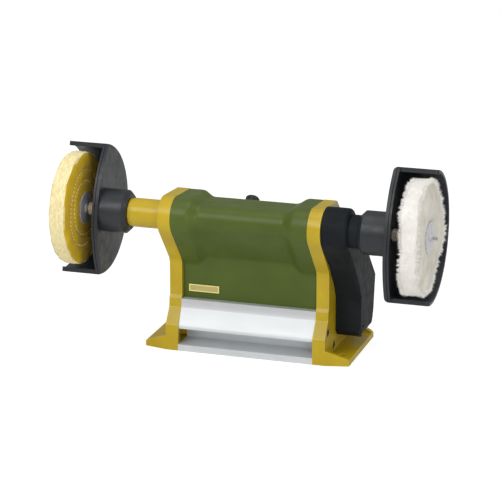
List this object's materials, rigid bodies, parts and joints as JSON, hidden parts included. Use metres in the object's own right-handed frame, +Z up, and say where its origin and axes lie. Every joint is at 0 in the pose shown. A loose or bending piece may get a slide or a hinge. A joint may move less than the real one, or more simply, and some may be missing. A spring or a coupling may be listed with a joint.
{
  "type": "bench polishing machine",
  "caption": "Bench polishing machine: a belt-driven spindle in a waisted housing between footed end plates, with a cloth buff and a swivelling half guard at each end.",
  "frame": {"origin": "middle of the four bench bolts, on the bench", "axes": "+X along the spindle towards the belt side, +Y from front to back, +Z up from the bench"},
  "size_m": [0.3482, 0.1453, 0.1836],
  "materials": {
    "yellow_paint": "smooth satin paint on a casting",
    "green_paint": "satin paint on a casting",
    "profile_aluminium": "drawn and anodised",
    "dark_plastic": "fine grained",
    "neck_steel": "dark satin",
    "badge": "satin",
    "dark_steel": "blackened",
    "steel": "ground",
    "zinc_steel": "zinc plated",
    "nut_steel": "nickel plated",
    "pulley_aluminium": "turned",
    "belt_rubber": "matt",
    "motor_steel": "rolled",
    "motor_casting": "die cast",
    "black_plastic": "fine grained",
    "ferrite": "ground",
    "bronze": "sintered",
    "carbon": "matt",
    "copper": "enamelled",
    "board_green": "lacquered",
    "board_parts": "moulded",
    "dial_metal": "anodised",
    "pale_plastic": "moulded",
    "sewn_cotton": "sewn cotton layers",
    "loose_cotton": "loose cotton layers with a frayed edge"
  },
  "bodies": {
    "machine": {"base_extrusion": "profile_aluminium", "left_end_plate": "yellow_paint", "right_end_plate": "yellow_paint", "housing": "green_paint", "rear_cover": "green_paint", "badge_plate": "badge", "plate_screws": "dark_steel", "housing_screws": "dark_steel", "belt_cover": "dark_plastic", "belt_cover_screws": "dark_steel", "right_neck": "neck_steel", "spindle_bearings": "steel", "bearing_balls": "steel", "drive_belt": "belt_rubber", "motor_can": "motor_steel", "motor_front_bell": "motor_casting", "motor_rear_bell": "black_plastic", "motor_magnets": "ferrite", "motor_bushes": "bronze", "motor_screws": "dark_steel", "carbon_brushes": "carbon", "brush_caps": "black_plastic", "control_board": "board_green", "board_parts": "board_parts", "board_screws": "dark_steel", "speed_potentiometer": "black_plastic", "dial_plate": "dial_metal", "switch_frame": "black_plastic", "cable_bush": "black_plastic"},
    "spindle": {"spindle_shaft": "steel", "spindle_pulley": "pulley_aluminium", "pulley_screws": "dark_steel", "spindle_races": "steel", "spindle_circlips": "dark_steel", "left_arbor": "steel", "left_arbor_nut": "nut_steel", "left_inner_washer": "zinc_steel", "left_outer_washer": "zinc_steel", "left_buff": "sewn_cotton", "right_arbor": "steel", "right_arbor_nut": "nut_steel", "right_inner_washer": "zinc_steel", "right_outer_washer": "zinc_steel", "right_buff": "loose_cotton"},
    "rotor": {"motor_shaft": "steel", "armature_core": "motor_steel", "armature_winding": "copper", "commutator": "copper", "motor_fan": "black_plastic", "motor_pulley": "pulley_aluminium", "motor_pulley_screw": "dark_steel"},
    "speed_knob": {"speed_knob": "black_plastic", "knob_shaft": "steel"},
    "power_rocker": {"switch_rocker": "pale_plastic"},
    "left_guard": {"left_guard": "dark_plastic", "left_guard_screw": "dark_steel"},
    "right_guard": {"right_guard": "dark_plastic", "right_guard_screw": "dark_steel"}
  },
  "joints": [
    {"name": "spindle_spin", "type": "hinge", "parent": "machine", "child": "spindle", "pos_m": [0, -0.0458, 0.126], "axis": [1, 0, 0], "continuous": true},
    {"name": "motor_spin", "type": "hinge", "parent": "machine", "child": "rotor", "pos_m": [0, 0.0152, 0.048], "axis": [1, 0, 0], "continuous": true},
    {"name": "speed_turn", "type": "hinge", "parent": "machine", "child": "speed_knob", "pos_m": [-0.0085, -0.00239, 0.12685], "axis": [0, 0.6768, 0.7362], "range_deg": [0, 280]},
    {"name": "power_rock", "type": "hinge", "parent": "machine", "child": "power_rocker", "pos_m": [0.011, -0.00336, 0.12801], "axis": [1, 0, 0], "range_deg": [-24, 0]},
    {"name": "left_guard_swivel", "type": "hinge", "parent": "machine", "child": "left_guard", "pos_m": [-0.1066, -0.0458, 0.126], "axis": [1, 0, 0], "range_deg": [-90, 90]},
    {"name": "right_guard_swivel", "type": "hinge", "parent": "machine", "child": "right_guard", "pos_m": [0.1066, -0.0458, 0.126], "axis": [1, 0, 0], "range_deg": [-90, 90]}
  ],
  "couplings": [
    {"joint": "motor_spin", "follows": "spindle_spin", "ratio": 2}
  ]
}
